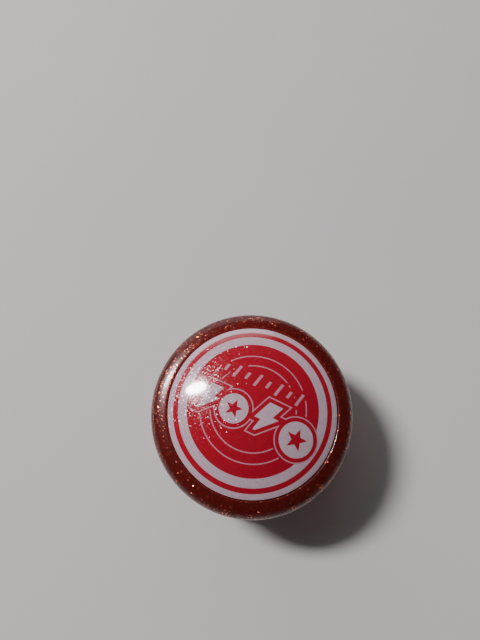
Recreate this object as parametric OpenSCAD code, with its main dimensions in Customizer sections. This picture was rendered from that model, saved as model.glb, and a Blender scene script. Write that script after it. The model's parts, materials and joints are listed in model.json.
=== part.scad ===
// Light-up yo-yo with a ball bearing, a centrifugal clutch and a flashing light module.
// It lies on its rear face: +Z runs along the axle out of the front face, +Y is the top of the print.
// Inside each half, h is the distance from the mid-plane, and the rear half is the front half turned over
// about X. The front half holds the light module, the rear half the clutch.

/* [Body] */
// Outside diameter of the yo-yo
yoyo_d = 62; // [60:0.5:66]
// Thickness over both printed faces
yoyo_w = 36; // [35.6:0.2:36.4]
// Width of the string gap beside the spool
string_gap = 4.4; // [4.2:0.1:4.6]
// Thickness of the wall beside the string gap
floor_t = 1.8; // [1.6:0.1:2]
// Radius of the flare from the gap wall out to the rim
flare_r = 5.9; // [5:0.1:6.5]
// Radius of the rim's outer corner
rim_r = 4; // [3:0.1:4.5]
// Radius of the shoulder between the rim and the lip
crown_r = 12; // [10:0.5:15]
// Slope where the rim's corner meets the shoulder, in degrees
crown_tilt = 22; // [18:1:26]

/* [Face cap] */
// Diameter of the domed cap
cap_d = 51; // [50:0.1:51.4]
// Spherical radius of the cap's outside
cap_sphere_r = 57; // [54:1:62]
// Wall thickness of the cap
cap_t = 1.6; // [1.2:0.1:2]
// Gap between the cap and the body's lip
cap_gap = 0.2; // [0.15:0.05:0.4]
// Thickness of the printed label
label_t = 0.2; // [0.1:0.05:0.3]
// Depth cut off the dome for the flat land at its middle
land_cut = 0.3; // [0.2:0.05:0.4]

/* [Spool and axle] */
// Diameter of the spool where the string loops round it
spool_d = 12; // [11:0.5:12.5]
// Diameter of the drum that the clutch grips
drum_d = 10.4; // [10:0.1:10.4]
// Length of the drum's end from the mid-plane
drum_end = 8.2; // [7.5:0.1:8.4]
// Clearance round the turning spool
spool_clear = 0.3; // [0.2:0.05:0.4]
// Diameter of the axle
axle_d = 3; // [2.9:0.01:3]

/* [Bearing] */
// Bore of the ball bearing
bearing_bore = 3.02; // [3.02:0.01:3.06]
// Outside diameter of the ball bearing
bearing_d = 8; // [7.8:0.1:8]
// Width of the ball bearing
bearing_w = 4; // [3.8:0.1:4]
// Number of balls
ball_count = 7; // [6:1:7]
// Diameter of a bearing ball
ball_d = 1.588; // [1.4:0.001:1.588]

/* [Clutch] */
// Distance of an arm's pivot from the axle, across the arm's pad
pivot_x = -9; // [-9.5:0.1:-8.5]
// Distance of an arm's pivot from the axle, along the arm's pad
pivot_y = 13.5; // [13:0.1:14]
// Diameter of a steel clutch ball
weight_d = 4.5; // [4:0.05:4.5]
// Thickness of a clutch arm
arm_t = 3.8; // [3.4:0.1:3.9]
// Outside diameter of a clutch spring
clutch_spring_d = 2.6; // [2.4:0.1:2.8]
// Wire diameter of a clutch spring
clutch_wire_d = 0.36; // [0.3:0.01:0.4]
// Turns of a clutch spring
clutch_turns = 5; // [4:1:6]

/* [Light module] */
// Diameter of the circuit board
board_d = 42; // [40:0.5:43]
// Height of the board's underside from the mid-plane
board_h = 9; // [8.8:0.1:9]
// Thickness of the circuit board
board_t = 1; // [0.8:0.1:1.2]
// Diameter of an AG10 button cell
cell_d = 11.6; // [11.2:0.1:11.6]
// Thickness of a button cell
cell_t = 3.1; // [2.8:0.1:3.1]
// Distance of each cell from the axle
cell_x = 9.5; // [9.4:0.1:10]
// Diameter of an LED's dome
led_d = 3; // [2.8:0.1:3]
// Distance of each LED from the axle
led_y = 14; // [13.5:0.1:14.5]
// Turns of the motion switch's spring
switch_turns = 9; // [7:1:10]

/* [Hidden] */
$fn = 96;
// How far joined solids reach into each other, and how far a cut runs past a surface
eps = 0.01;
over = 1;
mid_z = yoyo_w / 2;
gap_h = string_gap / 2;
floor_h = gap_h + floor_t;
body_r = yoyo_d / 2;

// Section of the body's outside, from the gap wall over the rim to the lip
cap_r = cap_d / 2;
lip_r = cap_r + cap_gap;
lip_round = 0.35;
rim_c = [body_r - rim_r, gap_h + flare_r];
crown_c = rim_c - (crown_r - rim_r) * [sin(crown_tilt), cos(crown_tilt)];
lip_angle = acos((lip_r + lip_round - crown_c[0]) / crown_r);
lip_h = crown_c[1] + crown_r * sin(lip_angle);

// Cap and label
dome_c = mid_z + land_cut - label_t - cap_sphere_r;
cap_top = mid_z - label_t;
seat_h = 11;
seat_gap = 0.05;
cavity_r = 24.6;
skirt_r = cavity_r - seat_gap;
skirt_t = 1.3;
skirt_h = 9.6;
bead_h = 10.2;
bead_out = 0.2;
bead_foot = 0.4;
bead_crest = 0.1;
bead_clear = 0.05;
label_r = cap_r - 0.1;

// Spool, bearing and axle
recess_h = 3.2;
spool_end = recess_h - spool_clear;
spool_r = spool_d / 2;
drum_r = drum_d / 2;
race_r = bearing_d / 2;
race_h = bearing_w / 2;
pitch_r = (bearing_bore + bearing_d) / 4;
groove_r = ball_d / 2 + 0.026;
shoulder_gap = 0.6;
shield_t = 0.2;
shield_h = race_h - 0.45;
shield_lap = 0.2;
shield_gap = 0.12;
ball_clear = 0.04;
cage_h = 1.15;
cage_t = 0.8;
drum_bore_r = 3.6;
spacer_r = 2.3;
nut_af = 5.5;
nut_t = 2.4;
nut_clear = 0.1;
nut_corner = 0.6;
nut_chamfer = 0.4;
hub_r = 5.2;
axle_hole_r = axle_d / 2 + 0.02;
front_nut_h = 5.4;
axle_front = front_nut_h + nut_t + 0.4;

// Clutch, in the rear half's own x, y and h
bridge_h = 8.6;
bridge_t = 1.6;
bridge_r = 22;
rear_nut_h = bridge_h + 1.2;
axle_rear = rear_nut_h + nut_t + 0.4;
pivot = [pivot_x, pivot_y];
seat_at = [5, 12.6];
weight_at = [11.5, 11];
pad_at = [1.5, 6.8];
pivot_eye_r = 2.5;
arm_r = 2.2;
weight_eye_r = 3.4;
pad_r = 2.4;
pad_gap = 0.05;
arm_h = floor_h + 0.4;
pin_r = 1;
pin_clear = 0.05;
pin_seat_h = floor_h - 1;
pin_top_h = bridge_h + bridge_t - 0.4;
boss_t = 0.3;
bridge_post_x = 19.5;
post_r = 2.2;
screw_r = 1;
screw_head_r = 1.9;
screw_head_t = 1.1;
screw_grip = 3.6;
spring_h = arm_h + arm_t / 2;
spring_foot = 14.8;
spring_head = 19.8;
spring_pip_r = 0.75;
spring_pip_len = 1.1;
seat_clear = 0.05;
rib_w = 3.6;

// Light module, in the front half's own x, y and h
board_top = board_h + board_t;
post_ring_r = 17.5;
contact_t = 0.25;
strap_t = 0.3;
strap_w = 4;
holder_t = 1.1;
holder_h = 2.4;
cell_h = board_top + contact_t;
chip_r = 2.4;
chip_h = 1.2;
led_flange_r = 1.9;
led_flange_t = 0.6;
led_body_h = 2.2;
switch_y = 12.5;
switch_root_x = 5.2;
switch_post_r = 1.1;
switch_start_x = switch_root_x + switch_post_r + 0.03;
switch_len = 6;
switch_h = board_top + 1.7;
switch_top = 1;
switch_coil_r = 0.9;
switch_wire_r = 0.13;
switch_pin_r = 0.3;
switch_block = [1.2, 2];
resistor_at = [-8.5, -13];

body_red = [0.42, 0.05, 0.04, 0.85];
print_white = [0.93, 0.91, 0.92];
steel = [0.72, 0.73, 0.75];
brass = [0.80, 0.63, 0.30];

// ---- Placing ----

// A point or shape given in the front half's own x, y and h
module front_half() translate([0, 0, mid_z]) children();

// The same, turned over into the rear half
module rear_half() translate([0, 0, mid_z]) rotate([180, 0, 0]) children();

// Something twice, half a turn apart about the axle
module opposite_pair() for (turn = [0, 180]) rotate([0, 0, turn]) children();

// A tube or washer from one height to another
module tube(outer_r, inner_r, low, high) {
    translate([0, 0, low]) difference() {
        cylinder(r = outer_r, h = high - low);
        translate([0, 0, -eps]) cylinder(r = inner_r, h = high - low + 2 * eps);
    }
}

// A hexagonal prism given by its width across flats
module hexagon(across, height) cylinder(d = across / cos(30), h = height, $fn = 6);

// Points along an arc
function arc(c, r, from, to, steps) =
    [for (i = [0 : steps]) let (a = from + (to - from) * i / steps) c + r * [cos(a), sin(a)]];

// ---- Body halves ----

// Half section of a moulded half: x is the radius, y is h
module shell_section(hole_r) {
    flare_c = [body_r - flare_r, gap_h + flare_r];
    polygon(concat(
        [[hole_r, gap_h]],
        arc(flare_c, flare_r, -90, 0, 24),
        arc(rim_c, rim_r, 4, 90 - crown_tilt, 18),
        arc(crown_c, crown_r, 88 - crown_tilt, lip_angle, 8),
        arc([lip_r + lip_round, lip_h - lip_round], lip_round, 105, 180, 5),
        [[lip_r, seat_h], [cavity_r, seat_h], [cavity_r, floor_h], [hole_r, floor_h]]));
}

// Section of the cap's snap bead, and with a clearance of the groove in the cavity wall that takes it
module snap_section(wall_r, clear) {
    out_r = skirt_r + bead_out + clear;
    polygon([[wall_r - eps, bead_h - bead_foot - 2 * clear], [out_r, bead_h - bead_crest - clear],
             [out_r, bead_h + bead_crest + clear], [wall_r - eps, bead_h + bead_foot + 2 * clear]]);
}

// One moulded half, with the wall beside the gap pierced by a hole and recessed for the spool's end
module half_shell(hole_r) {
    difference() {
        rotate_extrude() shell_section(hole_r);
        translate([0, 0, recess_h - 2 * over]) cylinder(r = spool_r + spool_clear, h = 2 * over);
        rotate_extrude() snap_section(cavity_r, bead_clear);
    }
}

// A post that takes a self-tapping screw from above
module screw_post(top) tube(post_r, screw_r, floor_h - eps, top);

module front_shell() {
    color(body_red) front_half() {
        half_shell(axle_hole_r);
        difference() {
            tube(hub_r, axle_hole_r, floor_h - eps, front_nut_h + nut_t);
            translate([0, 0, front_nut_h]) hexagon(nut_af + nut_clear, nut_t + over);
        }
        for (turn = [45 : 90 : 315]) rotate([0, 0, turn])
            translate([post_ring_r, 0, 0]) screw_post(board_h);
    }
}

// The rib that carries a clutch spring's fixed end, inside the cavity wall
module spring_rib() {
    intersection() {
        translate([seat_at[0] - rib_w / 2, spring_head, floor_h - eps])
            cube([rib_w, cavity_r - spring_head, arm_h + arm_t - floor_h]);
        cylinder(r = cavity_r + eps, h = bridge_h);
    }
    translate([seat_at[0], spring_head + eps, spring_h])
        rotate([90, 0, 0]) cylinder(r = spring_pip_r, h = spring_pip_len);
}

module rear_shell() {
    color(body_red) rear_half() {
        difference() {
            union() {
                half_shell(drum_r + spool_clear);
                opposite_pair() translate(pivot)
                    translate([0, 0, floor_h - eps]) cylinder(r = pivot_eye_r, h = boss_t);
            }
            opposite_pair() translate(pivot)
                translate([0, 0, pin_seat_h]) cylinder(r = pin_r, h = floor_h + over - pin_seat_h);
        }
        opposite_pair() translate([bridge_post_x, 0, 0]) screw_post(bridge_h);
        opposite_pair() spring_rib();
    }
}

// ---- Face caps and labels ----

// Half section of what lies under a dome, out to an edge radius
module under_dome(sphere_r, edge_r, low, high) {
    intersection() {
        translate([0, dome_c]) circle(r = sphere_r, $fn = 720);
        translate([0, low]) square([edge_r, high - low]);
    }
}

// A domed cap with its snap-in skirt
module cap() {
    rotate_extrude() difference() {
        union() {
            under_dome(cap_sphere_r, cap_r, seat_h, cap_top);
            translate([0, skirt_h]) square([skirt_r, seat_h - skirt_h + eps]);
            snap_section(skirt_r, 0);
        }
        under_dome(cap_sphere_r - cap_t, skirt_r - skirt_t, skirt_h - over, cap_top);
    }
}

// The printed film on a cap
module label() {
    rotate_extrude() difference() {
        under_dome(cap_sphere_r + label_t, label_r, seat_h, mid_z);
        under_dome(cap_sphere_r, cap_r + over, seat_h - over, cap_top);
    }
}

module front_cap() color(body_red) front_half() cap();

module rear_cap() color(body_red) rear_half() cap();

module front_label() color(print_white) front_half() label();

module rear_label() color(print_white) rear_half() label();

// ---- Axle ----

module axle() {
    chamfer = 0.3;
    color(steel) translate([0, 0, mid_z - axle_rear]) {
        length = axle_front + axle_rear;
        cylinder(r1 = axle_d / 2 - chamfer, r2 = axle_d / 2, h = chamfer);
        translate([0, 0, chamfer]) cylinder(d = axle_d, h = length - 2 * chamfer);
        translate([0, 0, length - chamfer])
            cylinder(r1 = axle_d / 2, r2 = axle_d / 2 - chamfer, h = chamfer);
    }
}

// A hexagon nut with its corners turned down, seated at a height
module axle_nut(low) {
    translate([0, 0, low]) difference() {
        intersection() {
            hexagon(nut_af, nut_t);
            union() {
                cylinder(r1 = nut_af / 2, r2 = nut_af / 2 + nut_corner, h = nut_chamfer);
                translate([0, 0, nut_chamfer])
                    cylinder(r = nut_af / 2 + nut_corner, h = nut_t - 2 * nut_chamfer);
                translate([0, 0, nut_t - nut_chamfer])
                    cylinder(r1 = nut_af / 2 + nut_corner, r2 = nut_af / 2, h = nut_chamfer);
            }
        }
        translate([0, 0, -over]) cylinder(d = axle_d, h = nut_t + 2 * over);
    }
}

module front_axle_nut() color(steel) front_half() axle_nut(front_nut_h);

module rear_axle_nut() color(steel) rear_half() axle_nut(rear_nut_h);

module front_spacer() color(brass) front_half() tube(spacer_r, axle_d / 2, race_h, recess_h);

module rear_spacer() color(brass) rear_half() tube(spacer_r, axle_d / 2, race_h, bridge_h);

// ---- Bearing and spool ----

// The ring that the balls sweep out, with running clearance
module ball_track() {
    rotate_extrude() translate([pitch_r, 0]) circle(r = groove_r, $fn = 48);
}

module bearing_inner_race() {
    color(steel) front_half() difference() {
        tube(pitch_r - shoulder_gap, bearing_bore / 2, -race_h, race_h);
        ball_track();
    }
}

module bearing_outer_race() {
    color(steel) front_half() difference() {
        tube(race_r, pitch_r + shoulder_gap, -race_h, race_h);
        ball_track();
        for (side = [-1, 1]) translate([0, 0, side * (shield_h + shield_t / 2)])
            cylinder(r = pitch_r + shoulder_gap + shield_lap, h = shield_t, center = true);
    }
}

module bearing_shields() {
    color(steel) front_half() for (side = [-1, 1])
        translate([0, 0, side * (shield_h + shield_t / 2)])
            tube(pitch_r + shoulder_gap + shield_lap, pitch_r - shoulder_gap + shield_gap,
                 -shield_t / 2, shield_t / 2);
}

// Every ball, or its pocket, round the bearing
module each_ball(r) {
    for (i = [0 : ball_count - 1]) rotate([0, 0, 360 * i / ball_count])
        translate([pitch_r, 0, 0]) sphere(r = r, $fn = 48);
}

module bearing_balls() color(steel) front_half() each_ball(ball_d / 2);

module bearing_cage() {
    color("saddlebrown") front_half() difference() {
        tube(pitch_r + cage_t / 2, pitch_r - cage_t / 2, -cage_h, cage_h);
        each_ball(ball_d / 2 + ball_clear);
    }
}

// The string winds on the neck in the gap. The drum runs on into the clutch, in the rear half.
module string_spool() {
    edge = 0.4;
    color("ivory") rear_half() rotate_extrude() polygon([
        [race_r, -spool_end], [spool_r - edge, -spool_end], [spool_r, -spool_end + edge],
        [spool_r, spool_end - edge], [spool_r - edge, spool_end], [drum_r, spool_end],
        [drum_r, drum_end - edge], [drum_r - edge, drum_end], [drum_bore_r, drum_end],
        [drum_bore_r, race_h], [race_r, race_h]]);
}

// ---- Clutch ----

// A pan-head self-tapping screw with a cross recess, its head resting at a height
module pan_screw(head_h) {
    tip_r = 0.2;
    tip = 0.8;
    head_sphere_r = 3;
    slot = [2.2, 0.44, 0.6];
    translate([0, 0, head_h - screw_grip]) cylinder(r1 = tip_r, r2 = screw_r, h = tip);
    translate([0, 0, head_h - screw_grip + tip]) cylinder(r = screw_r, h = screw_grip - tip + eps);
    translate([0, 0, head_h]) difference() {
        intersection() {
            cylinder(r = screw_head_r, h = screw_head_t);
            translate([0, 0, screw_head_t - head_sphere_r]) sphere(r = head_sphere_r);
        }
        for (turn = [0, 90]) rotate([0, 0, turn])
            translate([-slot[0] / 2, -slot[1] / 2, screw_head_t - slot[2]])
                cube([slot[0], slot[1], slot[2] + over]);
    }
}

// The plate over the clutch. It carries the axle's rear end and keeps the arms on their pins.
module clutch_bridge() {
    window_r = 3;
    window_ring_r = 13.5;
    through = bridge_t + 2 * over;
    color("dimgray") rear_half() difference() {
        union() {
            translate([0, 0, bridge_h]) cylinder(r = bridge_r, h = bridge_t);
            translate([0, 0, bridge_h]) cylinder(r = hub_r, h = rear_nut_h + nut_t - bridge_h);
        }
        translate([0, 0, bridge_h - over]) cylinder(r = axle_hole_r, h = through);
        translate([0, 0, rear_nut_h]) hexagon(nut_af + nut_clear, nut_t + over);
        opposite_pair() translate([bridge_post_x, 0, bridge_h - over]) cylinder(r = screw_r, h = through);
        opposite_pair() translate(pivot) translate([0, 0, bridge_h - over])
            cylinder(r = pin_r, h = through);
        for (turn = [30, 60, 210, 240]) rotate([0, 0, turn])
            translate([window_ring_r, 0, bridge_h - over]) cylinder(r = window_r, h = through);
    }
}

module bridge_screws() {
    color(steel) rear_half() opposite_pair()
        translate([bridge_post_x, 0, 0]) pan_screw(bridge_h + bridge_t);
}

module clutch_pins() {
    color(steel) rear_half() opposite_pair() translate(pivot)
        translate([0, 0, pin_seat_h]) cylinder(r = pin_r, h = pin_top_h - pin_seat_h);
}

// Outline of a clutch arm: pivot eye, spring seat, ball eye and the pad that grips the drum
module arm_outline() {
    difference() {
        union() {
            hull() {
                translate(pivot) circle(r = pivot_eye_r);
                translate(seat_at) circle(r = arm_r);
            }
            hull() {
                translate(seat_at) circle(r = arm_r);
                translate(weight_at) circle(r = weight_eye_r);
            }
            hull() {
                translate([pad_at[0], seat_at[1]]) circle(r = pad_r);
                translate(pad_at) circle(r = pad_r);
            }
        }
        translate([seat_at[0] - rib_w / 2, spring_foot - seat_clear]) square([rib_w, arm_r]);
    }
}

module clutch_arm() {
    difference() {
        union() {
            translate([0, 0, arm_h]) linear_extrude(arm_t) arm_outline();
            translate([seat_at[0], spring_foot - 2 * seat_clear, spring_h])
                rotate([-90, 0, 0]) cylinder(r = spring_pip_r, h = spring_pip_len);
        }
        translate([0, 0, arm_h - over]) {
            translate(pivot) cylinder(r = pin_r + pin_clear, h = arm_t + 2 * over);
            translate(weight_at) cylinder(r = weight_d / 2 + eps, h = arm_t + 2 * over);
            cylinder(r = drum_r + pad_gap, h = arm_t + 2 * over);
        }
    }
}

module clutch_weight() translate(weight_at) translate([0, 0, spring_h]) sphere(d = weight_d);

// A round-wire spring along Z, as rings of the wire's section swept along a helix
module coil_spring(coil_r, wire_r, length, turns, steps, sides) {
    rings = turns * steps;
    rise = length - 2 * wire_r;
    points = [for (i = [0 : rings], k = [0 : sides - 1])
        let (a = 360 * i / steps, b = 360 * k / sides, r = coil_r + wire_r * cos(b))
        [r * cos(a), r * sin(a), wire_r + rise * i / rings + wire_r * sin(b)]];
    walls = [for (i = [0 : rings - 1], k = [0 : sides - 1])
        let (a = i * sides + k, b = i * sides + (k + 1) % sides, c = b + sides, d = a + sides)
        each [[a, b, c], [a, c, d]]];
    start = [for (k = [1 : sides - 2]) [0, k + 1, k]];
    finish = [for (k = [1 : sides - 2]) [rings * sides, rings * sides + k, rings * sides + k + 1]];
    polyhedron(points, concat(walls, start, finish));
}

module clutch_spring() {
    translate([seat_at[0], spring_foot, spring_h]) rotate([-90, 0, 0])
        coil_spring((clutch_spring_d - clutch_wire_d) / 2, clutch_wire_d / 2,
                    spring_head - spring_foot, clutch_turns, 16, 8);
}

module clutch_arm_1() color("whitesmoke") rear_half() clutch_arm();

module clutch_arm_2() color("whitesmoke") rear_half() rotate([0, 0, 180]) clutch_arm();

module clutch_weight_1() color(steel) rear_half() clutch_weight();

module clutch_weight_2() color(steel) rear_half() rotate([0, 0, 180]) clutch_weight();

module clutch_spring_1() color(steel) rear_half() clutch_spring();

module clutch_spring_2() color(steel) rear_half() rotate([0, 0, 180]) clutch_spring();

// ---- Light module ----

module circuit_board() {
    color("darkgreen") front_half() difference() {
        translate([0, 0, board_h]) cylinder(d = board_d, h = board_t);
        for (turn = [135, 315]) rotate([0, 0, turn])
            translate([post_ring_r, 0, board_h - over]) cylinder(r = screw_r, h = board_t + 2 * over);
    }
}

module board_screws() {
    color(steel) front_half() for (turn = [135, 315]) rotate([0, 0, turn])
        translate([post_ring_r, 0, 0]) pan_screw(board_top);
}

// The blob of black resin over the flasher circuit
module flasher_chip() {
    ball_r = (chip_r * chip_r + chip_h * chip_h) / (2 * chip_h);
    color("black") front_half() intersection() {
        translate([0, 0, board_top + chip_h - ball_r]) sphere(r = ball_r);
        translate([0, 0, board_top]) cylinder(r = chip_r + over, h = chip_h + over);
    }
}

module led(y) {
    color("red") front_half() translate([0, y, board_top]) {
        cylinder(r = led_flange_r, h = led_flange_t);
        cylinder(d = led_d, h = led_body_h);
        translate([0, 0, led_body_h]) intersection() {
            sphere(d = led_d);
            cylinder(d = led_d + over, h = led_d);
        }
    }
}

module led_1() led(led_y);

module led_2() led(-led_y);

module resistor() {
    length = 3.6;
    core_r = 0.8;
    lead = 1.4;
    lead_r = 0.25;
    rise = 1;
    color("tan") front_half() translate([resistor_at[0], resistor_at[1], board_top]) {
        translate([-length / 2, 0, rise]) rotate([0, 90, 0]) cylinder(r = core_r, h = length);
        translate([-length / 2 - lead, 0, rise]) rotate([0, 90, 0])
            cylinder(r = lead_r, h = length + 2 * lead);
        for (side = [-1, 1]) translate([side * (length / 2 + lead), 0, 0])
            cylinder(r = lead_r, h = rise + lead_r);
    }
}

// A ring round each cell, tied together by two bars
module battery_holder() {
    bar = 1;
    bar_y = 4.6;
    bar_reach = cell_x - 4.5;
    cell_clear = 0.1;
    color("whitesmoke") front_half() {
        opposite_pair() translate([cell_x, 0, 0])
            tube(cell_d / 2 + holder_t, cell_d / 2 + cell_clear, board_top, board_top + holder_h);
        for (side = [-1, 1]) translate([-bar_reach, side * bar_y - bar / 2, board_top])
            cube([2 * bar_reach, bar, bar]);
    }
}

// A button cell: the can, and the smaller end with its seal groove
module button_cell(x) {
    seal = 0.5;
    edge = 0.2;
    color(steel) front_half() translate([x, 0, cell_h]) {
        cylinder(d = cell_d - 2, h = seal);
        translate([0, 0, seal]) cylinder(d = cell_d, h = cell_t - seal - edge);
        translate([0, 0, cell_t - edge]) cylinder(d1 = cell_d, d2 = cell_d - 2 * edge, h = edge);
    }
}

module button_cell_1() button_cell(cell_x);

module button_cell_2() button_cell(-cell_x);

module cell_contacts() {
    contact_d = 8;
    color(brass) front_half() opposite_pair() translate([cell_x, 0, board_top])
        cylinder(d = contact_d, h = contact_t);
}

// The spring strip that joins the cells across their tops
module cell_strap() {
    color(brass) front_half() translate([0, 0, cell_h + cell_t]) {
        translate([-cell_x, -strap_w / 2, 0]) cube([2 * cell_x, strap_w, strap_t]);
        opposite_pair() translate([cell_x, 0, 0]) cylinder(d = strap_w, h = strap_t);
    }
}

// The round post that holds the fixed end of the motion switch's spring
module switch_post() {
    color(brass) front_half() translate([switch_root_x, switch_y, board_top])
        cylinder(r = switch_post_r, h = switch_h - board_top + switch_top);
}

// The contact pin that the spring strikes when the yo-yo spins
module switch_pin() {
    block_x = switch_start_x + switch_len + 0.8;
    reach = 5;
    color(brass) front_half() {
        translate([block_x, switch_y - switch_block[1] / 2, board_top])
            cube([switch_block[0], switch_block[1], switch_h - board_top + switch_top]);
        translate([block_x + eps - reach, switch_y, switch_h])
            rotate([0, 90, 0]) cylinder(r = switch_pin_r, h = reach);
    }
}

module switch_spring() {
    color(steel) front_half() translate([switch_start_x, switch_y, switch_h]) rotate([0, 90, 0])
        coil_spring(switch_coil_r, switch_wire_r, switch_len, switch_turns, 12, 6);
}

front_shell();
rear_shell();
front_cap();
rear_cap();
front_label();
rear_label();
axle();
front_axle_nut();
rear_axle_nut();
front_spacer();
rear_spacer();
bearing_inner_race();
bearing_outer_race();
bearing_cage();
bearing_balls();
bearing_shields();
string_spool();
clutch_bridge();
bridge_screws();
clutch_pins();
clutch_arm_1();
clutch_arm_2();
clutch_weight_1();
clutch_weight_2();
clutch_spring_1();
clutch_spring_2();
circuit_board();
board_screws();
flasher_chip();
led_1();
led_2();
resistor();
battery_holder();
button_cell_1();
button_cell_2();
cell_contacts();
cell_strap();
switch_post();
switch_pin();
switch_spring();
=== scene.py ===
"""The looks of a light-up yo-yo that lies on its rear face, printed front face up.

The CAD nodes are the frame. The body halves, caps and labels are built again here as finely turned
meshes with their print, and the clutch springs as coils. Everything else keeps its
CAD mesh and gets its own material.
Lengths are in millimetres until a mesh or a light is made, and MM turns them into metres.
"""
import json
import math

import bpy
from mathutils import Matrix, Quaternion, Vector

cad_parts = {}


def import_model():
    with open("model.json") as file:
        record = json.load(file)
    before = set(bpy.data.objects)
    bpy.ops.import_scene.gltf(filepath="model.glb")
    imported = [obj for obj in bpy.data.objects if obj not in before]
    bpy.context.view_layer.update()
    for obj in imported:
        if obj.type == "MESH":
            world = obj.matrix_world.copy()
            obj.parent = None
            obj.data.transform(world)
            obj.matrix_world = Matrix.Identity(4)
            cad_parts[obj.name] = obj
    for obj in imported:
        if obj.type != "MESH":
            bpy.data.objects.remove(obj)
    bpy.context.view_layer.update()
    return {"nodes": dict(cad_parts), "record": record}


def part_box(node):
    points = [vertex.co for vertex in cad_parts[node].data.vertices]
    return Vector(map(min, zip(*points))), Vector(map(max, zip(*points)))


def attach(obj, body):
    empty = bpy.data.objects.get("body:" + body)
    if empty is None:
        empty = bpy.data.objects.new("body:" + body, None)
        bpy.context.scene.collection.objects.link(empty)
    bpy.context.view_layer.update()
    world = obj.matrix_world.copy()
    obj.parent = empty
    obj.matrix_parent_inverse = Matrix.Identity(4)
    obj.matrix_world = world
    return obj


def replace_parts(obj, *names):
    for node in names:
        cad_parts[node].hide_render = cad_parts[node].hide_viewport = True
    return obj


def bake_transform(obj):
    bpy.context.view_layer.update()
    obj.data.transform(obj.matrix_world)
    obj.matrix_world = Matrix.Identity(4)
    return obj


MM = 0.001
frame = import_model()


# ---- Sizes, from the frame where it has them ----

def cad_size(node):
    """(lowest, highest) corner of a CAD node, in millimetres."""
    low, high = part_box(node)
    return low / MM, high / MM


WIDTH = cad_size("front_label")[1].z
MID_Z = WIDTH / 2
BODY_R = cad_size("front_shell")[1].x
GAP_H = cad_size("front_shell")[0].z - MID_Z
CAP_R = cad_size("front_cap")[1].x
LABEL_R = cad_size("front_label")[1].x
LABEL_EDGE_H = cad_size("front_label")[0].z - MID_Z
SPOOL_R = cad_size("string_spool")[1].x
BRIDGE_H = MID_Z - cad_size("clutch_bridge")[1].z
BOARD_H = cad_size("circuit_board")[0].z - MID_Z
RESISTOR_X = sum(corner.x for corner in cad_size("resistor")) / 2

# How far the meshes made here stay inside the CAD's outside
INSET = 0.004

# The body's section, as the CAD source has it: h is the distance from the mid-plane
FLARE_R = 5.9
RIM_R = 4.0
CROWN_R = 12.0
CROWN_TILT = 22.0
CAP_GAP = 0.2
LIP_R = CAP_R + CAP_GAP
LIP_ROUND = 0.35
SEAT_H = 11.0
SEAT_GAP = 0.05
CAVITY_R = 24.6
WALL_T = 1.8
FLOOR_H = GAP_H + WALL_T
RECESS_H = 3.2
SPOOL_CLEAR = 0.3
RECESS_R = SPOOL_R + SPOOL_CLEAR
HUB_R = 5.2
HUB_TOP = 7.8
# The pocket of the front nut, round here and hexagonal in the CAD: it is hidden inside
NUT_POCKET_R = 3.2
NUT_POCKET_H = 5.4
AXLE_HOLE_R = 1.52
DRUM_HOLE_R = 5.5
POST_R = 2.2
POST_BORE_R = 1.0
POST_RING_R = 17.5
BRIDGE_POST_X = 19.5

# What holds a clutch arm and its spring in the rear half
PIVOT = (-9.0, 13.5)
PIN_R = 1.0
BOSS_R = 2.5
BOSS_T = 0.3
SPRING_X, SPRING_FOOT, SPRING_HEAD = 5.0, 14.8, 19.8
SPRING_H = 6.3
SPRING_COIL_R, SPRING_WIRE_R, SPRING_TURNS = 1.12, 0.18, 5.0
# How far the coils crowd towards a spring's ends, as a share of its length
SPRING_CLOSING = 0.09
RIB_W = 3.6
RIB_H = 8.2
PIP_R = 0.75
PIP_LENGTH = 1.1

# The cap and its film
CAP_T = 1.6
SKIRT_T = 1.3
SKIRT_H = 9.6
SKIRT_TOP = LABEL_EDGE_H - 0.9
FILM_T = 0.2
FILM_CLEAR = 0.01

# Radii of the edges
BODY_EDGE = 0.15
POST_EDGE = 0.1
RIB_EDGE = 0.3
PIP_EDGE = 0.25
CAP_EDGE = 0.3
FILM_EDGE = 0.15

# Segments round the large and the small turned shapes
ROUND = 288
BOSS_ROUND, POST_ROUND, PIP_ROUND = 48, 32, 24

# ---- Sizes of the print, on the flat ----

OUTER_BAND = 23.7
RED_RING = 22.15
INNER_BAND = 19.5
ARC_OUTER = 15.6
ARC_INNER = 12.55
HAIRLINE = 0.17
KEY_GAP = 1.15
KEY_LINE = 0.36
EMBLEM_MARGIN = 0.9
RAY_MARGIN = 1.1
PRINT_TILT = -25.0
STAR_TILT = 90.0 + PRINT_TILT
FIRST_DISC, FIRST_DISC_R = (-5.7, -0.1), 4.3
SECOND_DISC, SECOND_DISC_R = (12.3, -8.9), 5.1
RAY_START, RAY_STEP, RAY_COUNT = (-7.6, 12.3), 3.35, 8
RAY_W, RAY_LONG, RAY_SHORT, RAY_LEAN = 0.85, 4.0, 2.2, 0.25

# ---- Camera and light ----

CAMERA_AT = (-5.7, -15.7, 172.6)
CAMERA_PITCH = 17.14
CAMERA_YAW = -0.78
LENS = 26.4
KEY_AZIMUTH, KEY_TILT, KEY_DISTANCE, KEY_SIZE, KEY_POWER = 150.3, 43.1, 1800.0, (620.0, 620.0), 2.6
CORE_SIZE, CORE_ROLL, CORE_POWER = (228.0, 450.0), 40.0, 27.0
# The core is a small bright light just in front of the key
CORE_LEAD = 5.0
PANEL_AZIMUTH, PANEL_TILT, PANEL_DISTANCE = 106.0, 72.5, 2100.0
PANEL_SIZE, PANEL_POWER = (2400.0, 1100.0), 9.3
OVERHEAD_LIGHT, HORIZON_LIGHT = 0.04, 0.25
FLOOR_HALF = 1800.0


# ---- Mesh building ----

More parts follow.
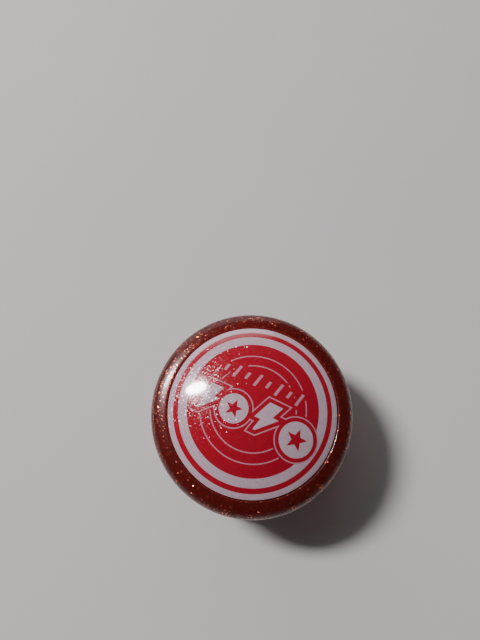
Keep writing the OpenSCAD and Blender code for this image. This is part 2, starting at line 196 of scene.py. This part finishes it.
def arc(centre, radius, start, end, steps):
    """Points along an arc, from one angle to another in degrees."""
    turns = [math.radians(start + (end - start) * i / steps) for i in range(steps + 1)]
    return [(centre[0] + radius * math.cos(a), centre[1] + radius * math.sin(a)) for a in turns]


def softened(points, radius, steps=3):
    """A closed outline with every corner sharper than 25 degrees rounded."""
    out = []
    count = len(points)
    for i, corner in enumerate(points):
        here = Vector(corner)
        before = Vector(points[i - 1]) - here
        after = Vector(points[(i + 1) % count]) - here
        opening = before.angle(after)
        if opening > math.radians(155):
            out.append(corner)
            continue
        reach = min(radius / math.tan(opening / 2), before.length * 0.45, after.length * 0.45)
        first = here + before.normalized() * reach
        last = here + after.normalized() * reach
        for k in range(steps + 1):
            t = k / steps
            out.append(tuple(first * (1 - t) ** 2 + here * 2 * t * (1 - t) + last * t ** 2))
    return out


def new_object(name, verts, faces, material, sharp=30.0):
    """A mesh object from points in millimetres, smooth but for edges sharper than an angle."""
    mesh = bpy.data.meshes.new(name)
    mesh.from_pydata([Vector(v) * MM for v in verts], [], faces)
    mesh.shade_smooth()
    mesh.set_sharp_from_angle(angle=math.radians(sharp))
    mesh.materials.append(material)
    obj = bpy.data.objects.new(name, mesh)
    bpy.context.scene.collection.objects.link(obj)
    return obj


def turned(outline, segments, at=(0.0, 0.0)):
    """(points, faces) of a closed outline turned about an upright axis."""
    verts, faces = [], []
    count = len(outline)
    for r, h in outline:
        for k in range(segments):
            a = 2 * math.pi * k / segments
            verts.append((at[0] + r * math.cos(a), at[1] + r * math.sin(a), h))
    for i in range(count):
        j = (i + 1) % count
        for k in range(segments):
            n = (k + 1) % segments
            faces.append((i * segments + k, i * segments + n, j * segments + n, j * segments + k))
    return verts, faces


def dome(profile, segments):
    """(points, faces) of an outline that starts and ends on the axis, turned about it."""
    verts, faces = [(0.0, 0.0, profile[0][1]), (0.0, 0.0, profile[-1][1])], []
    rings = profile[1:-1]
    for r, h in rings:
        for k in range(segments):
            a = 2 * math.pi * k / segments
            verts.append((r * math.cos(a), r * math.sin(a), h))
    last = 2 + (len(rings) - 1) * segments
    for k in range(segments):
        n = (k + 1) % segments
        faces.append((0, 2 + k, 2 + n))
        faces.append((1, last + n, last + k))
        for i in range(len(rings) - 1):
            a, b = 2 + i * segments, 2 + (i + 1) * segments
            faces.append((a + k, b + k, b + n, a + n))
    return verts, faces


def prism(outline, low, high):
    """(points, faces) of an outline, given anticlockwise, from one height to another."""
    count = len(outline)
    verts = [(x, y, h) for h in (low, high) for x, y in outline]
    faces = [tuple(reversed(range(count))), tuple(range(count, 2 * count))]
    for i in range(count):
        n = (i + 1) % count
        faces.append((i, n, count + n, count + i))
    return verts, faces


def moved(part, over):
    """(points, faces) with a matrix applied to the points."""
    verts, faces = part
    return [tuple(over @ Vector(v)) for v in verts], faces


def joined(*parts):
    """Several (points, faces) as one."""
    verts, faces = [], []
    for more, their in parts:
        start = len(verts)
        verts += more
        faces += [tuple(start + i for i in face) for face in their]
    return verts, faces


def place(obj, half):
    """Puts a piece made in a half's own x, y and h where it belongs, and lets it ride on the halves."""
    turn = Matrix.Identity(4) if half == "front" else Matrix.Rotation(math.pi, 4, "X")
    obj.matrix_world = Matrix.Translation((0, 0, MID_Z * MM)) @ turn
    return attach(obj, "halves")


# ---- Node trees ----

class Field:
    """A number at every point of a surface, worked out by Math nodes."""

    def __init__(self, tree, socket):
        self.tree, self.socket = tree, socket

    def math(self, operation, *others, clamp=False):
        node = self.tree.nodes.new("ShaderNodeMath")
        node.operation = operation
        node.use_clamp = clamp
        for slot, value in zip(node.inputs, (self,) + others):
            if isinstance(value, Field):
                self.tree.links.new(value.socket, slot)
            else:
                slot.default_value = value
        return Field(self.tree, node.outputs[0])

    def __add__(self, other):
        return self.math("ADD", other)

    def __sub__(self, other):
        return self.math("SUBTRACT", other)

    def __mul__(self, other):
        return self.math("MULTIPLY", other)

    def __truediv__(self, other):
        return self.math("DIVIDE", other)

    def __abs__(self):
        return self.math("ABSOLUTE")

    def least(self, other):
        return self.math("MINIMUM", other)

    def most(self, other):
        return self.math("MAXIMUM", other)

    def inside(self, soft=0.03):
        """1 where this distance is below 0, 0 where it is above, with a soft edge in millimetres."""
        return self.math("MULTIPLY_ADD", -1.0 / soft, 0.5, clamp=True)


def length(x, y):
    return (x * x + y * y).math("SQRT")


class Shader:
    """A material's node tree and the few nodes that its recipes use."""

    def __init__(self, name):
        self.material = bpy.data.materials.new(name)
        self.material.use_nodes = True
        self.tree = self.material.node_tree
        self.surface = self.tree.nodes["Principled BSDF"]
        self.coords = self.tree.nodes.new("ShaderNodeTexCoord").outputs["Object"]

    def node(self, kind, **settings):
        made = self.tree.nodes.new(kind)
        for key, value in settings.items():
            setattr(made, key, value)
        return made

    def link(self, out, into):
        self.tree.links.new(out.socket if isinstance(out, Field) else out, into)

    def set(self, **values):
        for key, value in values.items():
            self.surface.inputs[key.replace("_", " ")].default_value = value

    def flat_xy(self):
        """x and y in millimetres."""
        scaled = self.node("ShaderNodeVectorMath", operation="SCALE")
        self.link(self.coords, scaled.inputs[0])
        scaled.inputs["Scale"].default_value = 1 / MM
        split = self.node("ShaderNodeSeparateXYZ")
        self.link(scaled.outputs[0], split.inputs[0])
        return Field(self.tree, split.outputs[0]), Field(self.tree, split.outputs[1])

    def noise(self, size, detail=2.0):
        """Noise from 0 to 1 with features of a size in millimetres."""
        made = self.node("ShaderNodeTexNoise")
        self.link(self.coords, made.inputs["Vector"])
        made.inputs["Scale"].default_value = 1 / (size * MM)
        made.inputs["Detail"].default_value = detail
        return Field(self.tree, made.outputs[0])

    def cells(self, size):
        """A Voronoi node whose cells are about a size across, in millimetres."""
        made = self.node("ShaderNodeTexVoronoi")
        self.link(self.coords, made.inputs["Vector"])
        made.inputs["Scale"].default_value = 1 / (size * MM)
        return made

    def ramp(self, field, low, high):
        """A field from 0 to 1 carried to the range low to high."""
        return field.math("MULTIPLY_ADD", high - low, low)

    def mix(self, share, first, second):
        """A colour between two, each a colour or a socket."""
        made = self.node("ShaderNodeMix", data_type="RGBA")
        self.link(share, made.inputs["Factor"])
        for value, slot in ((first, made.inputs[6]), (second, made.inputs[7])):
            if isinstance(value, tuple):
                slot.default_value = (*value, 1.0)
            else:
                self.link(value, slot)
        return made.outputs[2]

    def flakes(self, size, lean, share=1.0, falloff=3.0):
        """Tips a share of small cells over, most of them little and a few by up to a slope.

        Gives the mask of the cells that are tipped.
        """
        cell = self.cells(size)
        drawn = self.node("ShaderNodeSeparateXYZ")
        self.link(cell.outputs["Color"], drawn.inputs[0])
        luck = Field(self.tree, drawn.outputs[2])
        mask = luck.math("LESS_THAN", share)
        centred = self.node("ShaderNodeVectorMath", operation="SUBTRACT")
        self.link(cell.outputs["Color"], centred.inputs[0])
        centred.inputs[1].default_value = (0.5, 0.5, 0.0)
        tilted = self.node("ShaderNodeVectorMath", operation="MULTIPLY")
        self.link(centred.outputs[0], tilted.inputs[0])
        tilted.inputs[1].default_value = (1.0, 1.0, 0.0)
        scaled = self.node("ShaderNodeVectorMath", operation="SCALE")
        self.link(tilted.outputs[0], scaled.inputs[0])
        self.link(mask * (luck * (1 / share)).math("POWER", falloff) * (2 * lean), scaled.inputs["Scale"])
        normal = self.node("ShaderNodeNewGeometry")
        added = self.node("ShaderNodeVectorMath", operation="ADD")
        self.link(normal.outputs["Normal"], added.inputs[0])
        self.link(scaled.outputs[0], added.inputs[1])
        unit = self.node("ShaderNodeVectorMath", operation="NORMALIZE")
        self.link(added.outputs[0], unit.inputs[0])
        self.link(unit.outputs[0], self.surface.inputs["Normal"])
        return mask

    def bump(self, field, height, strength):
        """Raises the surface by a field times a height in millimetres."""
        made = self.node("ShaderNodeBump")
        made.inputs["Strength"].default_value = strength
        made.inputs["Distance"].default_value = height * MM
        self.link(field, made.inputs["Height"])
        self.link(made.outputs[0], self.surface.inputs["Normal"])


# ---- Materials ----

def body_plastic():
    """Deep red translucent plastic: clear and glossy at the skin, dark through its depth."""
    s = Shader("body_red")
    s.set(Transmission_Weight=0.8, IOR=1.45, Coat_Weight=0.4, Coat_Roughness=0.06, Coat_IOR=1.4)
    cloud = s.noise(9.0, 3.0)
    plastic = s.mix(cloud, (0.33, 0.020, 0.019), (0.47, 0.034, 0.029))
    flake = s.flakes(0.32, 0.8, share=0.06)
    s.link(s.mix(flake, plastic, (1.0, 0.26, 0.14)), s.surface.inputs["Base Color"])
    s.link(flake, s.surface.inputs["Metallic"])
    s.link(s.ramp(s.noise(3.0, 4.0), 0.20, 0.34), s.surface.inputs["Roughness"])
    return s.material


def printed_film():
    """White film printed in red: two bands, a red disc, hairline arcs and a tilted row of bolts and stars."""
    s = Shader("print_film")
    x, y = s.flat_xy()
    r = length(x, y)
    emblem, holes = emblem_fields(x, y)
    rays = ray_fields(x, y)

    red = (0.50, 0.009, 0.026)
    white = (0.70, 0.51, 0.61)
    pink = (0.70, 0.30, 0.40)
    ring = abs(r - (OUTER_BAND + RED_RING) / 2) - (OUTER_BAND - RED_RING) / 2
    disc = r - INNER_BAND
    hairlines = (abs(r - ARC_OUTER) - HAIRLINE).least(abs(r - ARC_INNER) - HAIRLINE)
    hairlines = hairlines.most((emblem * -1.0) + (KEY_GAP + EMBLEM_MARGIN)).most((rays * -1.0) + RAY_MARGIN)
    colour = s.mix(ring.least(disc).inside(), white, red)
    colour = s.mix(hairlines.inside(), colour, pink)
    colour = s.mix((emblem - (KEY_GAP + KEY_LINE)).inside(), colour, pink)
    colour = s.mix((emblem - KEY_GAP).inside(), colour, red)
    colour = s.mix(emblem.inside(), colour, white)
    colour = s.mix(holes.inside(), colour, red)
    colour = s.mix(rays.inside(), colour, pink)
    s.link(colour, s.surface.inputs["Base Color"])
    s.link(s.ramp(s.noise(0.5, 2.0), 0.13, 0.20), s.surface.inputs["Roughness"])
    s.set(IOR=1.6, Specular_Tint=(1.0, 0.72, 0.85, 1.0), Coat_Weight=1.0, Coat_Roughness=0.08, Coat_IOR=1.75)
    s.flakes(0.24, 0.30, falloff=1.8)
    return s.material


def turned_frame(x, y, centre, tilt):
    """x and y measured from a centre along a tilt in degrees."""
    c, si = math.cos(math.radians(tilt)), math.sin(math.radians(tilt))
    dx, dy = x - centre[0], y - centre[1]
    return dx * c + dy * si, dy * c - dx * si


def star(x, y, centre, tip, notch, points, tilt):
    """Distance to a star with a number of points."""
    u, v = turned_frame(x, y, centre, tilt)
    half = math.pi / points
    angle = v.math("ARCTAN2", u).math("PINGPONG", half)
    reach = length(u, v)
    edge = Vector((notch * math.cos(half) - tip, notch * math.sin(half)))
    normal = Vector((edge.y, -edge.x)).normalized()
    return (reach * angle.math("COSINE") - tip) * normal.x + reach * angle.math("SINE") * normal.y


def slab(x, y, centre, size, tilt, lean):
    """Distance to a bar of a width and a height, leaning over by a slope."""
    u, v = turned_frame(x, y, centre, tilt)
    across = (abs(u - v * lean) - size[0] / 2) * (1 / math.sqrt(1 + lean * lean))
    return across.most(abs(v) - size[1] / 2)


def convex(u, v, corners):
    """Distance to a convex outline whose corners run clockwise."""
    field = None
    for i, (px, py) in enumerate(corners):
        nx, ny = corners[(i + 1) % len(corners)]
        side = Vector((py - ny, nx - px)).normalized()
        line = u * side.x + v * side.y - (px * side.x + py * side.y)
        field = line if field is None else field.most(line)
    return field


def bolt(x, y, centre, scale, tilt):
    """Distance to a lightning bolt: a leaning bar on top of a spike."""
    u, v = turned_frame(x, y, centre, tilt)
    u, v = u / scale, v / scale
    bar = convex(u, v, ((-0.9, 4.6), (3.1, 4.6), (0.7, -0.7), (-3.3, -0.7)))
    spike = convex(u, v, ((-1.0, 1.0), (3.3, 1.0), (-1.7, -4.0), (-2.4, -4.0)))
    return bar.least(spike) * scale


def emblem_fields(x, y):
    """Distances to the emblem's white shapes, and to the red stars in its discs."""
    first_disc = length(x - FIRST_DISC[0], y - FIRST_DISC[1]) - FIRST_DISC_R
    second_disc = length(x - SECOND_DISC[0], y - SECOND_DISC[1]) - SECOND_DISC_R
    bolts = bolt(x, y, (-13.0, 3.2), 0.95, PRINT_TILT).least(bolt(x, y, (3.7, -3.2), 1.05, PRINT_TILT))
    emblem = bolts.least(first_disc).least(second_disc)
    holes = star(x, y, FIRST_DISC, 2.7, 1.15, 5, STAR_TILT)
    holes = holes.least(star(x, y, SECOND_DISC, 3.3, 1.4, 5, STAR_TILT))
    return emblem, holes


def ray_fields(x, y):
    """Distance to the row of small leaning bars above the emblem."""
    along = Vector((math.cos(math.radians(PRINT_TILT)), math.sin(math.radians(PRINT_TILT))))
    start = Vector(RAY_START)
    rays = None
    for i in range(RAY_COUNT):
        size = (RAY_W, RAY_LONG if i % 2 else RAY_SHORT)
        bar = slab(x, y, start + along * RAY_STEP * i, size, PRINT_TILT, RAY_LEAN)
        rays = bar if rays is None else rays.least(bar)
    return rays


def metal(name, colour, roughness, scratch=0.5):
    """Bright metal with fine turning marks."""
    s = Shader(name)
    s.set(Metallic=1.0)
    s.link(s.mix(s.noise(2.0), colour, tuple(0.8 * c for c in colour)), s.surface.inputs["Base Color"])
    s.link(s.ramp(s.noise(scratch, 4.0), roughness * 0.7, roughness * 1.4), s.surface.inputs["Roughness"])
    s.bump(s.noise(scratch * 0.5), 0.004, 0.12)
    return s.material


def moulded(name, colour, roughness, grain=0.4):
    """Moulded plastic with a fine satin grain."""
    s = Shader(name)
    s.link(s.mix(s.noise(4.0, 3.0), colour, tuple(0.88 * c for c in colour)), s.surface.inputs["Base Color"])
    s.link(s.ramp(s.noise(grain * 3), roughness * 0.85, roughness * 1.15), s.surface.inputs["Roughness"])
    s.bump(s.noise(grain), 0.006, 0.4)
    return s.material


def board_mask():
    """Green solder mask with copper tracks showing through it as paler lines."""
    s = Shader("board_green")
    x, y = s.flat_xy()
    pitch, half_width = 1.6, 0.22
    ring_r, ring_half = 14.0, 5.5
    tracks = abs((x * 0.5 + y * 0.87).math("PINGPONG", pitch) - pitch / 2) - half_width
    tracks = tracks.most(abs(length(x, y) - ring_r) - ring_half)
    colour = s.mix(tracks.inside(0.08), (0.012, 0.10, 0.035), (0.03, 0.20, 0.07))
    s.link(colour, s.surface.inputs["Base Color"])
    s.set(Coat_Weight=0.6, Coat_Roughness=0.15)
    s.link(s.ramp(s.noise(0.8), 0.35, 0.5), s.surface.inputs["Roughness"])
    return s.material


def resistor_paint():
    """Tan enamel with four colour bands, and tinned leads."""
    s = Shader("resistor_tan")
    x, y = s.flat_xy()
    along = x - RESISTOR_X
    body_half_length, band_half_width = 1.8, 0.17
    colour = s.mix(s.noise(2.0), (0.55, 0.36, 0.20), (0.47, 0.30, 0.16))
    for band_x, band in ((-1.2, (0.12, 0.03, 0.01)), (-0.6, (0.01, 0.01, 0.01)), (0.0, (0.50, 0.02, 0.02)),
                         (1.2, (0.55, 0.38, 0.08))):
        colour = s.mix((abs(along - band_x) - band_half_width).inside(), colour, band)
    lead = (abs(along) * -1.0 + body_half_length).inside()
    s.link(s.mix(lead, colour, (0.62, 0.62, 0.62)), s.surface.inputs["Base Color"])
    s.link(lead, s.surface.inputs["Metallic"])
    s.link(s.ramp(s.noise(0.6), 0.22, 0.34), s.surface.inputs["Roughness"])
    return s.material


def led_lens():
    """Clear red epoxy."""
    s = Shader("led_red")
    s.set(Transmission_Weight=0.7, Roughness=0.05, IOR=1.52)
    s.link(s.mix(s.noise(1.0), (0.75, 0.03, 0.02), (0.60, 0.02, 0.015)), s.surface.inputs["Base Color"])
    return s.material


MATERIALS = {
    "body_red": body_plastic(),
    "print_film": printed_film(),
    "steel": metal("steel", (0.60, 0.60, 0.61), 0.28),
    "ball_steel": metal("ball_steel", (0.72, 0.72, 0.74), 0.08, 0.2),
    "spring_steel": metal("spring_steel", (0.42, 0.42, 0.43), 0.3, 0.15),
    "brass": metal("brass", (0.72, 0.48, 0.18), 0.25),
    "cage_plastic": moulded("cage_plastic", (0.20, 0.10, 0.045), 0.5),
    "spool_plastic": moulded("spool_plastic", (0.80, 0.78, 0.72), 0.38),
    "bridge_plastic": moulded("bridge_plastic", (0.02, 0.02, 0.022), 0.45),
    "arm_plastic": moulded("arm_plastic", (0.78, 0.77, 0.74), 0.42),
    "board_green": board_mask(),
    "chip_black": moulded("chip_black", (0.01, 0.01, 0.01), 0.25),
    "led_red": led_lens(),
    "resistor_tan": resistor_paint(),
    "cell_steel": metal("cell_steel", (0.66, 0.66, 0.66), 0.2, 0.3),
}
for part in frame["record"]["subparts"]:
    for slot in frame["nodes"][part["node"]].material_slots:
        slot.material = MATERIALS[part["material_slot"]]


# ---- Body halves ----

def body_outside():
    """Section of a half's outside, from the gap wall over the rim to the cap's seat."""
    rim = (BODY_R - RIM_R - INSET, GAP_H + FLARE_R)
    flare = (BODY_R - FLARE_R - INSET, GAP_H + FLARE_R)
    tilt = math.radians(CROWN_TILT)
    crown = (rim[0] - (CROWN_R - RIM_R) * math.sin(tilt), rim[1] - (CROWN_R - RIM_R) * math.cos(tilt))
    lip_angle = math.degrees(math.acos((LIP_R + LIP_ROUND - crown[0]) / CROWN_R))
    lip_h = crown[1] + CROWN_R * math.sin(math.radians(lip_angle))
    return (arc(flare, FLARE_R, -90, -4, 22) + arc(rim, RIM_R, 0, 90 - CROWN_TILT, 20)
            + arc(crown, CROWN_R, 87 - CROWN_TILT, lip_angle, 8)
            + arc((LIP_R + LIP_ROUND, lip_h - LIP_ROUND), LIP_ROUND, 96, 180, 8))


def clutch_seats():
    """What one clutch arm needs of the rear half: its pin's boss, and its spring's rib and pip."""
    boss_top = FLOOR_H + BOSS_T
    boss = turned([(PIN_R, FLOOR_H), (BOSS_R, FLOOR_H), (BOSS_R, boss_top), (PIN_R, boss_top)],
                  BOSS_ROUND, PIVOT)
    side_a, side_b = SPRING_X - RIB_W / 2, SPRING_X + RIB_W / 2
    wall = arc((0, 0), CAVITY_R, math.degrees(math.acos(side_b / CAVITY_R)),
               math.degrees(math.acos(side_a / CAVITY_R)), 6)
    rib = prism(softened([(side_a, SPRING_HEAD), (side_b, SPRING_HEAD)] + wall, RIB_EDGE), FLOOR_H, RIB_H)
    tip = arc((PIP_R - PIP_EDGE, PIP_LENGTH - PIP_EDGE), PIP_EDGE, 0, 90, 5)
    rounded = [(0.0, 0.0), (PIP_R, 0.0)] + tip + [(0.0, PIP_LENGTH)]
    lying = Matrix.Translation((SPRING_X, SPRING_HEAD, SPRING_H)) @ Matrix.Rotation(math.pi / 2, 4, "X")
    return [boss, rib, moved(dome(rounded, PIP_ROUND), lying)]


def body_half(half):
    """A moulded half: rim, gap wall, hub and screw posts."""
    hole = AXLE_HOLE_R if half == "front" else DRUM_HOLE_R
    outline = [(hole, RECESS_H), (RECESS_R, RECESS_H), (RECESS_R, GAP_H)] + body_outside()
    outline += [(LIP_R, SEAT_H), (CAVITY_R, SEAT_H), (CAVITY_R, FLOOR_H)]
    if half == "front":
        outline += [(HUB_R, FLOOR_H), (HUB_R, HUB_TOP), (NUT_POCKET_R, HUB_TOP),
                    (NUT_POCKET_R, NUT_POCKET_H), (hole, NUT_POCKET_H)]
        posts = [(POST_RING_R * math.cos(a), POST_RING_R * math.sin(a), BOARD_H)
                 for a in (math.pi * (0.25 + 0.5 * k) for k in range(4))]
    else:
        outline += [(hole, FLOOR_H)]
        posts = [(side * BRIDGE_POST_X, 0.0, BRIDGE_H) for side in (-1, 1)]
    parts = [turned(softened(outline, BODY_EDGE), ROUND)]
    for px, py, top in posts:
        ring = [(POST_BORE_R, FLOOR_H), (POST_R, FLOOR_H), (POST_R, top), (POST_BORE_R, top)]
        parts.append(turned(softened(ring, POST_EDGE), POST_ROUND, (px, py)))
    if half == "rear":
        for turn in (0.0, math.pi):
            parts += [moved(part, Matrix.Rotation(turn, 4, "Z")) for part in clutch_seats()]
    obj = new_object(half + "_half", *joined(*parts), MATERIALS["body_red"])
    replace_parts(place(obj, half), half + "_shell")


def dome_h(r, apex, edge_r, edge_h):
    """Height of a spherical dome at a radius, from its apex and its edge."""
    sag = apex - edge_h
    sphere = (edge_r * edge_r + sag * sag) / (2 * sag)
    return apex - sphere + math.sqrt(sphere * sphere - r * r)


def cap_half(half):
    """The domed cap and the printed film on it. The dome runs on smoothly where the CAD has a flat land."""
    top = WIDTH / 2 - INSET
    film_edge = LABEL_EDGE_H + FILM_T
    steps = 48
    radii = [LABEL_R * i / steps for i in range(steps)]
    outer = [(r, dome_h(r, top, LABEL_R, film_edge)) for r in radii]
    bevel = arc((LABEL_R - FILM_EDGE, film_edge - 0.14), FILM_EDGE, 75, 0, 5)
    inner = [(r, h - FILM_T) for r, h in reversed(outer)]
    section = outer + bevel + [(LABEL_R, LABEL_EDGE_H)] + inner
    film = new_object(half + "_printed_face", *dome(section, ROUND), MATERIALS["print_film"])
    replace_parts(place(film, half), half + "_label")

    shell = [(r, h - FILM_T - FILM_CLEAR) for r, h in outer]
    rounding = arc((CAP_R - CAP_EDGE, LABEL_EDGE_H - CAP_EDGE - SEAT_GAP), CAP_EDGE, 80, 0, 6)
    skirt_r, skirt_inner = CAVITY_R - SEAT_GAP, CAVITY_R - SKIRT_T
    skirt = [(CAP_R, SEAT_H), (skirt_r, SEAT_H), (skirt_r, SKIRT_H), (skirt_inner, SKIRT_H),
             (skirt_inner, SKIRT_TOP)]
    under = [(r, h - CAP_T) for r, h in reversed(shell) if r < skirt_inner - 0.3]
    section = shell + rounding + skirt + under
    cap = new_object(half + "_dome", *dome(section, ROUND), MATERIALS["body_red"])
    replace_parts(place(cap, half), half + "_cap")


for half in ("front", "rear"):
    body_half(half)
    cap_half(half)


# ---- Clutch springs ----

def swept(path, radius, sides=10):
    """(points, faces) of a round wire along a path, closed at both ends."""
    verts, faces = [], []
    for i, point in enumerate(path):
        ahead = (path[min(i + 1, len(path) - 1)] - path[max(i - 1, 0)]).normalized()
        side = ahead.cross(Vector((0, 1, 0))).normalized()
        up = side.cross(ahead)
        for k in range(sides):
            a = 2 * math.pi * k / sides
            verts.append(point + side * radius * math.cos(a) + up * radius * math.sin(a))
    for i in range(len(path) - 1):
        for k in range(sides):
            n = (k + 1) % sides
            faces.append((i * sides + k, (i + 1) * sides + k, (i + 1) * sides + n, i * sides + n))
    faces.append(tuple(range(sides)))
    faces.append(tuple(reversed(range((len(path) - 1) * sides, len(path) * sides))))
    return [tuple(v) for v in verts], faces


def clutch_coil(number):
    """A compression spring of round wire in the rear half, its coils crowding towards both ends."""
    steps = 24
    count = int(SPRING_TURNS * steps)
    run = SPRING_HEAD - SPRING_FOOT - 2 * SPRING_WIRE_R
    path = []
    for i in range(count + 1):
        t = i / count
        a = 2 * math.pi * i / steps
        eased = t - SPRING_CLOSING * math.sin(2 * math.pi * t)
        path.append(Vector((SPRING_X + SPRING_COIL_R * math.cos(a), SPRING_FOOT + SPRING_WIRE_R + run * eased,
                            SPRING_H + SPRING_COIL_R * math.sin(a))))
    obj = new_object(f"clutch_coil_{number}", *swept(path, SPRING_WIRE_R), MATERIALS["spring_steel"])
    half_turn = Matrix.Rotation(math.pi * (number - 1), 4, "Z")
    over = Matrix.Translation((0, 0, MID_Z * MM)) @ Matrix.Rotation(math.pi, 4, "X") @ half_turn
    obj.data.transform(over)
    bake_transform(obj)
    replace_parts(obj, f"clutch_spring_{number}")


for number in (1, 2):
    clutch_coil(number)


# ---- Stage, light and camera ----

def floor():
    s = Shader("floor")
    s.link(s.mix(s.noise(60.0, 3.0), (0.78, 0.77, 0.76), (0.82, 0.81, 0.80)), s.surface.inputs["Base Color"])
    s.set(Roughness=0.8)
    side = FLOOR_HALF
    corners = [(-side, -side, 0), (side, -side, 0), (side, side, 0), (-side, side, 0)]
    new_object("floor", corners, [(0, 1, 2, 3)], s.material)


def lamp(name, azimuth, tilt, distance, size, power, shape, roll=0.0):
    """A soft light aimed at the yo-yo's face from a compass direction and an angle off the vertical."""
    a, t = math.radians(azimuth), math.radians(tilt)
    away = Vector((math.sin(t) * math.cos(a), math.sin(t) * math.sin(a), math.cos(t)))
    light = bpy.data.lights.new(name, "AREA")
    light.shape = shape
    light.size, light.size_y = size[0] * MM, size[1] * MM
    light.energy = power
    light.color = (1.0, 0.97, 0.97)
    obj = bpy.data.objects.new(name, light)
    obj.location = (Vector((0, 0, WIDTH)) + away * distance) * MM
    obj.rotation_euler = (away.to_track_quat("Z", "Y") @ Quaternion((0, 0, 1), math.radians(roll))).to_euler()
    obj.visible_camera = False
    bpy.context.scene.collection.objects.link(obj)


def camera():
    data = bpy.data.cameras.new("camera")
    data.lens = LENS
    data.sensor_width = 36.0
    data.clip_start = 0.005
    obj = bpy.data.objects.new("camera", data)
    obj.location = Vector(CAMERA_AT) * MM
    obj.rotation_euler = (math.radians(CAMERA_PITCH), math.radians(CAMERA_YAW), 0)
    bpy.context.scene.collection.objects.link(obj)
    bpy.context.scene.camera = obj


def world(overhead, horizon):
    """Dim light from all round, brighter near the horizon than overhead."""
    made = bpy.data.worlds.new("studio")
    made.use_nodes = True
    tree = made.node_tree
    direction = tree.nodes.new("ShaderNodeTexCoord").outputs["Generated"]
    split = tree.nodes.new("ShaderNodeSeparateXYZ")
    tree.links.new(direction, split.inputs[0])
    height = abs(Field(tree, split.outputs[2])) * 2.0
    strength = height.least(1.0).math("MULTIPLY_ADD", overhead - horizon, horizon)
    background = tree.nodes["Background"]
    background.inputs["Color"].default_value = (1.0, 0.98, 0.98, 1.0)
    tree.links.new(strength.socket, background.inputs["Strength"])
    bpy.context.scene.world = made


floor()
lamp("key", KEY_AZIMUTH, KEY_TILT, KEY_DISTANCE, KEY_SIZE, KEY_POWER, "ELLIPSE")
lamp("key_core", KEY_AZIMUTH, KEY_TILT, KEY_DISTANCE - CORE_LEAD, CORE_SIZE, CORE_POWER, "ELLIPSE", CORE_ROLL)
lamp("panel", PANEL_AZIMUTH, PANEL_TILT, PANEL_DISTANCE, PANEL_SIZE, PANEL_POWER, "RECTANGLE")
world(OVERHEAD_LIGHT, HORIZON_LIGHT)
camera()
